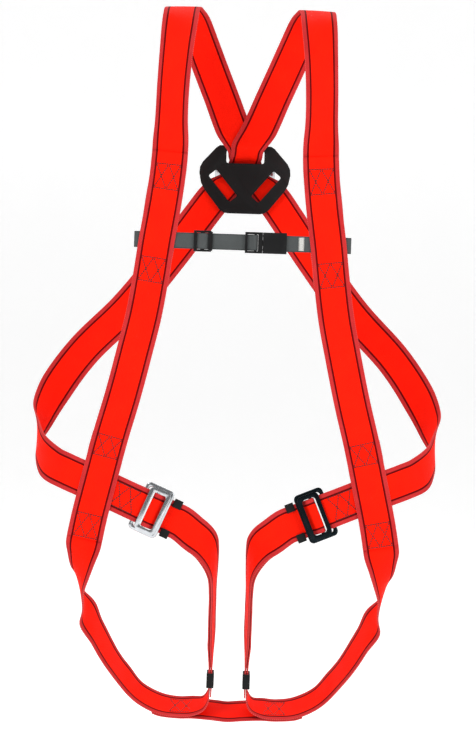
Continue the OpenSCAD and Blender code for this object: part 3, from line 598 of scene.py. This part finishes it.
# %% Front straps and leg loops
FRONT_ROWS = [
    row((-94, FRONT_Y, -187), FRONT), row((-96, FRONT_Y, -215), FRONT), row((-100, FRONT_Y, -250), FRONT),
    row((-107, FRONT_Y, -297), FRONT), row((-113, FRONT_Y, -344), FRONT),
    row((-120, FRONT_Y + 1, -390), FRONT), row((-130, FRONT_Y + 3, -436), FRONT),
    row((-143, FRONT_Y + 5, -492), FRONT), row((-157, HIP_Y, -545), FRONT),
    row((-171, HIP_Y, -605), FRONT), row((-180, HIP_Y, -645), FRONT), row((-185, HIP_Y, -673), FRONT)]
LEG_X = 24.5
LOOP_ROWS = [
    row((-157, HIP_BACK_Y, -543), FRONT), row((-162, HIP_BACK_Y, -564), FRONT),
    row((-164, HIP_REAR_Y, -574), FRONT), row((-171, HIP_REAR_Y, -603), FRONT),
    row((-178, HIP_REAR_Y, -634), FRONT), row((-180, HIP_BACK_Y, -645), FRONT),
    row((-182, HIP_BACK_Y, -655), FRONT), row((-185.5, HIP_BACK_Y + 0.6, -675), FRONT),
    row((-188, HIP_BACK_Y + 4, -694), FRONT + 0.6 * OUT), row((-190, HIP_BACK_Y + 10, -719), FRONT + 1.7 * OUT),
    row((-189, HIP_BACK_Y + 20, -738), FRONT + 4 * OUT), row((-184, HIP_BACK_Y + 37, -761), (-0.96, 0.25, -0.05)),
    row((-167, 0, -797), (-0.87, 0.45, -0.2)), row((-149, 22, -830), (-0.75, 0.5, -0.4)),
    row((-131, 44, -856), (-0.6, 0.6, -0.6)), row((-112, 58, -877), (-0.5, 0.5, -0.7)),
    row((-86, 65, -890), (-0.2, 0.5, -0.8)), row((-62, 67, -893), (0, 0.5, -0.9)),
    row((-LEG_X - 22, 67, -892), (0.1, 0.5, -0.9)), row((-LEG_X - 7, 65, -888), (0.5, 0.3, -0.8)),
    row((-LEG_X, 61, -876), IN)]
LEG_Y = 59
LEG_ROWS = [
    row((-LEG_X, LEG_Y, -866), IN), row((-LEG_X, LEG_Y, -848), IN), row((-LEG_X, LEG_Y, -826), IN + 0.05 * FRONT),
    row((-LEG_X, LEG_Y - 7, -800), IN + 0.14 * FRONT), row((-LEG_X, 30, -774), IN + 0.17 * FRONT),
    row((-LEG_X, 4, -748), IN + 0.17 * FRONT), row((-LEG_X + 0.5, -20, -724), IN + 0.2 * FRONT),
    row((-LEG_X - 0.5, -38, -703), (0.93, -0.35, 0.1)), row((-LEG_X - 5, -47, -688), (0.8, -0.6, 0.15)),
    row((-LEG_X - 13, -51, -674), (0.5, -0.87, 0.1)), row((-LEG_X - 27, -52, -661.5), (0.1, -1, 0)),
    row(by_buckle(38, -8), FRONT), row(by_buckle(26, -8), FRONT), row(by_buckle(16, -8), FRONT)]
SLIDE_U, SLIDE_N, BEND = -2.8, 6.5, 3.4
BAR_ROWS = [
    row(by_buckle(11, -6.8), FRONT + 0.3 * RUN), row(by_buckle(7, -2.5), FRONT + RUN),
    row(by_buckle(3, 2), FRONT + RUN), row(by_buckle(SLIDE_U - 0.5, SLIDE_N - BEND), FRONT),
    row(by_buckle(SLIDE_U - BEND * 0.7, SLIDE_N - BEND * 0.7), FRONT + RUN),
    row(by_buckle(SLIDE_U - BEND, SLIDE_N), RUN),
    row(by_buckle(SLIDE_U - BEND * 0.7, SLIDE_N + BEND * 0.7), RUN + BACK),
    row(by_buckle(SLIDE_U, SLIDE_N + BEND), BACK), row(by_buckle(2.4, 8.4), BACK - 0.8 * RUN),
    row(by_buckle(5, 5), BACK - 1.2 * RUN), row(by_buckle(8, 0.5), BACK - 1.2 * RUN),
    row(by_buckle(11, -3.3), BACK - 0.6 * RUN)]
TAIL_ROWS = turned_back(lifted([row((-LEG_X, LEG_Y + 1, -874), IN)] + LEG_ROWS, 2.7))
LEG_LOOP_ROWS = LOOP_ROWS + LEG_ROWS + BAR_ROWS + TAIL_ROWS

front_left = webbing("webbing_front_strap_left", FRONT_ROWS, RED, "webbing", cup=0.3)
front_right = webbing("webbing_front_strap_right", mirrored(FRONT_ROWS), RED, "webbing", cup=0.3)
webbing("webbing_leg_loop_left", LEG_LOOP_ROWS, RED, "webbing", pitch=2.0)
webbing("webbing_leg_loop_right", mirrored(LEG_LOOP_ROWS), RED, "webbing", pitch=2.0)

# %% [markdown]
# A short seat strap lies across under both leg loops and is sewn to them. It follows the
# loops' own rows, one layer lower, and sags a little in between.

# %% Seat strap
SEAT_HALF = lifted([
    row((-95, 62.8, -886.3), (-0.3, 0.5, -0.75)), row((-86, 65, -890), (-0.2, 0.5, -0.8)),
    row((-62, 67, -893), (0, 0.5, -0.9)), row((-LEG_X - 20, 67, -892.5), (0, 0.5, -0.9))], 2.8) + [
    row((-18, 69, -896.5), (0, 0.5, -0.9))]
SEAT_ROWS = SEAT_HALF + [row((0, 69, -898), (0, 0.5, -0.9))] + mirrored(SEAT_HALF)[::-1]
seat = webbing("webbing_seat_strap", SEAT_ROWS, RED, "webbing")

# %% [markdown]
# The chest strap is two pieces of grey webbing. The long one loops round the left front
# strap, weaves through a slider and folds round the bar of the buckle's male half. The short
# one folds round the female half's bar, loops round the right front strap, and is closed by
# a white bar tack.

# %% Chest strap
PLY_FRONT_Y, PLY_REAR_Y, SLIDER_PLY_Y = -69.6, -65.25, -67.6
FOLD = 2.5
SLIDER_X, MALE_BAR_X, FEMALE_BAR_X, LOOP_X = -50.0, 16.0, 49.6, 134.0
MID_Y, HALF_GAP = (PLY_FRONT_Y + PLY_REAR_Y) / 2, (PLY_REAR_Y - PLY_FRONT_Y) / 2
CHEST_W = 20.0


def chest_row(x, y, facing=FRONT):
    return row((x, y, CHEST_Z), facing, CHEST_W)

LONG_ROWS = [
    chest_row(SLIDER_X + 10, SLIDER_PLY_Y, BACK), chest_row(SLIDER_X, SLIDER_PLY_Y, BACK),
    chest_row(SLIDER_X - 10, SLIDER_PLY_Y, BACK), chest_row(SLIDER_X - 15, PLY_REAR_Y, BACK),
    chest_row(-80, PLY_REAR_Y, BACK), chest_row(-105, PLY_REAR_Y, BACK),
    chest_row(-LOOP_X + 2, PLY_REAR_Y, BACK), chest_row(-LOOP_X, MID_Y + HALF_GAP * 0.7, BACK + OUT),
    chest_row(-LOOP_X - 1.2, MID_Y, OUT), chest_row(-LOOP_X, MID_Y - HALF_GAP * 0.7, FRONT + OUT),
    chest_row(-LOOP_X + 2, PLY_FRONT_Y), chest_row(-105, PLY_FRONT_Y), chest_row(-80, PLY_FRONT_Y),
    chest_row(SLIDER_X - 9, PLY_FRONT_Y), chest_row(SLIDER_X - 6.5, PLY_FRONT_Y - 0.6, FRONT + 0.3 * OUT),
    chest_row(SLIDER_X - 3.6, PLY_FRONT_Y - 3.4, FRONT + 0.6 * OUT), chest_row(SLIDER_X, PLY_FRONT_Y - 4.2),
    chest_row(SLIDER_X + 3.6, PLY_FRONT_Y - 3.4, FRONT + 0.6 * IN),
    chest_row(SLIDER_X + 6.5, PLY_FRONT_Y - 0.6, FRONT + 0.3 * IN), chest_row(SLIDER_X + 9, PLY_FRONT_Y),
    chest_row(-20, PLY_FRONT_Y), chest_row(4, PLY_FRONT_Y), chest_row(11, PLY_FRONT_Y - 1, FRONT + 0.3 * OUT),
    chest_row(MALE_BAR_X, PLY_FRONT_Y - FOLD),
    chest_row(MALE_BAR_X + FOLD * 0.7, PLY_FRONT_Y - FOLD * 0.7, FRONT + IN),
    chest_row(MALE_BAR_X + FOLD, PLY_FRONT_Y, IN),
    chest_row(MALE_BAR_X + FOLD * 0.7, PLY_FRONT_Y + FOLD * 0.7, BACK + IN),
    chest_row(MALE_BAR_X, PLY_FRONT_Y + FOLD, BACK), chest_row(4, PLY_FRONT_Y + FOLD, BACK),
    chest_row(-5, PLY_FRONT_Y + FOLD - 0.4, BACK)]
SHORT_ROWS = [
    chest_row(79, SLIDER_PLY_Y, BACK), chest_row(66, SLIDER_PLY_Y, BACK),
    chest_row(58, PLY_FRONT_Y + FOLD, BACK), chest_row(FEMALE_BAR_X, PLY_FRONT_Y + FOLD, BACK),
    chest_row(FEMALE_BAR_X - FOLD * 0.7, PLY_FRONT_Y + FOLD * 0.7, BACK + OUT),
    chest_row(FEMALE_BAR_X - FOLD, PLY_FRONT_Y, OUT),
    chest_row(FEMALE_BAR_X - FOLD * 0.7, PLY_FRONT_Y - FOLD * 0.7, FRONT + OUT),
    chest_row(FEMALE_BAR_X, PLY_FRONT_Y - FOLD), chest_row(57, PLY_FRONT_Y - 0.8),
    chest_row(64, PLY_FRONT_Y), chest_row(100, PLY_FRONT_Y), chest_row(LOOP_X - 2, PLY_FRONT_Y),
    chest_row(LOOP_X, MID_Y - HALF_GAP * 0.7, FRONT + IN), chest_row(LOOP_X + 1.2, MID_Y, IN),
    chest_row(LOOP_X, MID_Y + HALF_GAP * 0.7, BACK + IN), chest_row(LOOP_X - 2, PLY_REAR_Y, BACK),
    chest_row(105, PLY_REAR_Y, BACK), chest_row(86, PLY_REAR_Y, BACK)]
webbing("webbing_chest_strap_long", LONG_ROWS, GREY, "chest_left", CHEST_W, 1.4, 8, 1.5)
webbing("webbing_chest_strap_short", SHORT_ROWS, GREY, "chest_right", CHEST_W, 1.4, 8, 1.5)

# %% [markdown]
# The hard parts keep the exact shape that they have in the frame, and get what moulding and forging give them:
# rounded edges. A copy of the CAD mesh is merged and its flat faces are joined, then a bevel runs along every
# corner sharper than a set angle. The CAD mesh itself stays as it is, hidden.

# %% Finishing a hard part
CLEAN, SHARP = math.radians(1), math.radians(38)


def rounded_copy(node, rounding, corner=30, segments=3):
    """A bmesh copy of a CAD node with its sharp corners rounded. rounding is in millimetres."""
    bm = bmesh.new()
    bm.from_mesh(NODES[node].data)
    bmesh.ops.remove_doubles(bm, verts=bm.verts[:], dist=1e-6)
    bmesh.ops.dissolve_limit(bm, angle_limit=CLEAN, verts=bm.verts[:], edges=bm.edges[:])
    bmesh.ops.recalc_face_normals(bm, faces=bm.faces[:])
    sharp = [e for e in bm.edges if e.is_manifold and e.calc_face_angle(0) > math.radians(corner)]
    bmesh.ops.bevel(bm, geom=sharp, offset=rounding * MM, segments=segments, profile=0.5,
                    affect="EDGES", clamp_overlap=True, material=-1)
    return bm


def finished(name, bm, surface, body, *nodes):
    """Puts a hard part in the scene in place of its CAD nodes, smooth shaded between sharp edges."""
    for face in bm.faces:
        face.smooth = True
    for edge in bm.edges:
        edge.smooth = not (edge.is_manifold and edge.calc_face_angle(0) > SHARP)
    count = len(bm.faces)
    made = new_object(name, bm, surface)
    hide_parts(*nodes)
    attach(made, body)
    print(name, count, "faces")


def rounded_part(name, node, rounding, surface, body):
    """A CAD node's own shape with its corners rounded, in that node's place."""
    finished(name, rounded_copy(node, rounding), surface, body, node)

rounded_part("plate_moulding", "dorsal_plate", 0.9, PLATE, "webbing")
rounded_part("slider_moulding", "chest_slider", 0.5, BUCKLE, "chest_left")
rounded_part("buckle_male_half", "chest_buckle_male", 0.5, BUCKLE, "chest_left")
rounded_part("buckle_female_half", "chest_buckle_female", 0.6, BUCKLE, "chest_right")
for arm in ("upper", "lower"):
    rounded_part(f"release_{arm}", f"release_arm_{arm}", 0.3, BUCKLE, f"arm_{arm}")
# The right-hand ring, frame and slide bar get the steel painted dark as a painted reflection.
for side, steel in (("left", BRIGHT), ("right", STEEL_DARK_REFLECTION)):
    rounded_part(f"ring_forging_{side}", f"leg_ring_{side}", 1.3, steel, "webbing")
    rounded_part(f"frame_forging_{side}", f"leg_frame_{side}", 1.1, steel, f"frame_{side}")
    rounded_part(f"keeper_band_{side}", f"upper_keeper_{side}", 0.4, KEEPER, f"keeper_upper_{side}")
    rounded_part(f"keeper_sleeve_{side}", f"lower_keeper_{side}", 0.6, KEEPER, f"keeper_lower_{side}")
    NODES[f"slide_bar_{side}"].material_slots[0].material = steel

# %% [markdown]
# The dorsal ring is forged round bar: a straight side, two legs and a half circle. Its round
# section is a bmesh circle, repeated square to a closed centre line of arcs and straights,
# and each circle is bridged to the next. At rest it stands back from the plate and down.

# %% Dorsal ring
RING_ARC, RING_REACH, RING_REST, CORNER = 35.5, 62.0, math.radians(-30), 5.0


def ring_path():
    """The centre line of the ring in its own plane, as X and Y in millimetres, closed."""
    legs = RING_REACH - RING_ARC
    path = [(-RING_ARC + CORNER - CORNER * math.sin(a), CORNER - CORNER * math.cos(a))
            for a in [math.pi / 2 * i / 8 for i in range(9)]]
    path += [(-RING_ARC * math.cos(a), legs + RING_ARC * math.sin(a))
             for a in [math.pi * i / 40 for i in range(41)]]
    path += [(-x, y) for x, y in reversed(path[:9])]
    return path


def ring_forging():
    bm = bmesh.new()
    loops = []
    path = ring_path()
    for i, (x, y) in enumerate(path):
        before, after = path[i - 1], path[(i + 1) % len(path)]
        along = Vector((after[0] - before[0], after[1] - before[1], 0)).normalized()
        turn = Vector((0, 0, 1)).rotation_difference(along).to_matrix().to_4x4()
        place = Matrix.Translation((x, y, 0)) @ turn
        section = bmesh.ops.create_circle(bm, segments=16, radius=RING_D / 2, matrix=place)
        loops.append(section["verts"])
    for first, second in zip(loops, loops[1:] + loops[:1]):
        edges = [e for ring in (first, second) for e in {e for v in ring for e in v.link_edges
                 if all(w in ring for w in e.verts)}]
        bmesh.ops.bridge_loops(bm, edges=edges)
    stand = Matrix.Translation((0, BAR_Y, BAR_Z)) @ Matrix.Rotation(RING_REST, 4, "X")
    bmesh.ops.transform(bm, verts=bm.verts[:], matrix=Matrix.Scale(MM, 4) @ stand)
    bmesh.ops.recalc_face_normals(bm, faces=bm.faces[:])
    return bm

finished("dorsal_ring_forging", ring_forging(), RING, "ring", "dorsal_ring")

# %% [markdown]
# The webbing is sewn in boxes: two solid lines across the strap, and two crosses between
# them. On the real harness each stitch is a short length of thread that dips at both ends,
# so one is an icosphere drawn out into a grain, and there is one for every stitch on both
# faces. A stitch's place is read off the route of the strap it is sewn through.

# %% Stitches
STITCH = 3.1


def add_stitch(bm, place, along, facing, size=STITCH, thick=1.5):
    """One stitch as a stretched ball of few faces: its length lies along, flat on facing."""
    side = facing.cross(along).normalized()
    turn = Matrix((side, along.normalized(), facing.normalized())).transposed().to_4x4()
    shape = Matrix.Diagonal((thick / 2, size * 0.47, thick * 0.42, 1))
    matrix = Matrix.Scale(MM, 4) @ Matrix.Translation(place) @ turn @ shape
    bmesh.ops.create_icosphere(bm, subdivisions=1, radius=1, matrix=matrix)


def box_lines(half_w, half_h):
    """The lines of a box stitch as pairs of points: across first, up the strap second."""
    lines = [((-half_w, side * half_h), (half_w, side * half_h)) for side in (-1, 1)]
    for left, right in ((-half_w, 0), (0, half_w)):
        lines += [((left + 0.6, -half_h + 1), (right - 0.6, half_h - 1)),
                  ((left + 0.6, half_h - 1), (right - 0.6, -half_h + 1))]
    return lines


def sew_box(bm, route, middle, half_w, half_h, front, behind, turned=False):
    """Sews a box round a distance along a route, with threads at the heights front and behind."""
    for (x0, y0), (x1, y1) in box_lines(half_w, half_h):
        count = max(int(math.hypot(x1 - x0, y1 - y0) / STITCH), 2)
        step = Vector((x1 - x0, y1 - y0)) / count
        for k in range(count):
            x, y = x0 + step.x * (k + 0.5), y0 + step.y * (k + 0.5)
            if turned:
                x, y = y, x
            place, span, facing, along = route.at(middle + y)
            across = span.normalized()
            run_x, run_y = (step.y, step.x) if turned else step
            lie = across * run_x + along * run_y
            for height in (front, behind):
                add_stitch(bm, place + across * x + facing * height, lie, facing)


def sewing(name, boxes, node):
    bm = bmesh.new()
    for box in boxes:
        sew_box(bm, *box)
    finished(name, bm, THREAD_RED, "webbing", node)


def at(route, flip, x, y, z, start=0.0, end=1.0):
    """How far along a route a place on the left side is, or its mirror place if flip is -1."""
    return route.nearest((x * flip, y, z), start, end)

TOP, UNDER = 1.3, -3.8
chest_boxes, hip_boxes, side_boxes, seat_boxes = [], [], [], []
for flip, front, shoulder in ((1, front_left, shoulder_right), (-1, front_right, shoulder_left)):
    chest_boxes += [(front, at(front, flip, -97, -72, -218), 15.5, 15.5, TOP, UNDER),
                    (front, at(front, flip, -111.7, -72, -335), 15.5, 15, TOP, UNDER)]
    hip_boxes += [(front, at(front, flip, -160, -66, -558), 15.5, 13, TOP, UNDER),
                  (front, at(front, flip, -182.2, -66, -656), 15.5, 14.5, TOP, UNDER)]
    by_side = at(shoulder, flip, *by_buckle(-39, 3.3), 0.5, 0.97)
    side_boxes.append((shoulder, by_side, 15.5, 15, TOP, UNDER + 0.2, True))
    seat_boxes.append((seat, at(seat, flip, -60, 68, -895), 15, 13, 1.0, -3.7, True))
sewing("thread_chest_boxes", chest_boxes, "chest_stitches")
sewing("thread_hip_boxes", hip_boxes, "hip_stitches")
sewing("thread_side_boxes", side_boxes, "side_stitches")
sewing("thread_seat_boxes", seat_boxes, "seat_stitches")


TACK_X, TACK_H, TACK_STITCHES, TACK_OFF = 73.3, 16, 44, 0.9


def bar_tack():
    """A white zigzag across the chest webbing, on both faces."""
    bm = bmesh.new()
    for face, depth in ((FRONT, PLY_FRONT_Y - TACK_OFF), (BACK, SLIDER_PLY_Y + TACK_OFF)):
        for k in range(TACK_STITCHES):
            z = CHEST_Z - TACK_H / 2 + TACK_H * k / (TACK_STITCHES - 1)
            lean = Vector((8.6, 0, 0.4 if k % 2 else -0.4))
            add_stitch(bm, Vector((TACK_X, depth, z)), lean, face, 9.2, 0.7)
    return bm

finished("thread_bar_tack", bar_tack(), THREAD_WHITE, "chest_right", "chest_bar_tack")
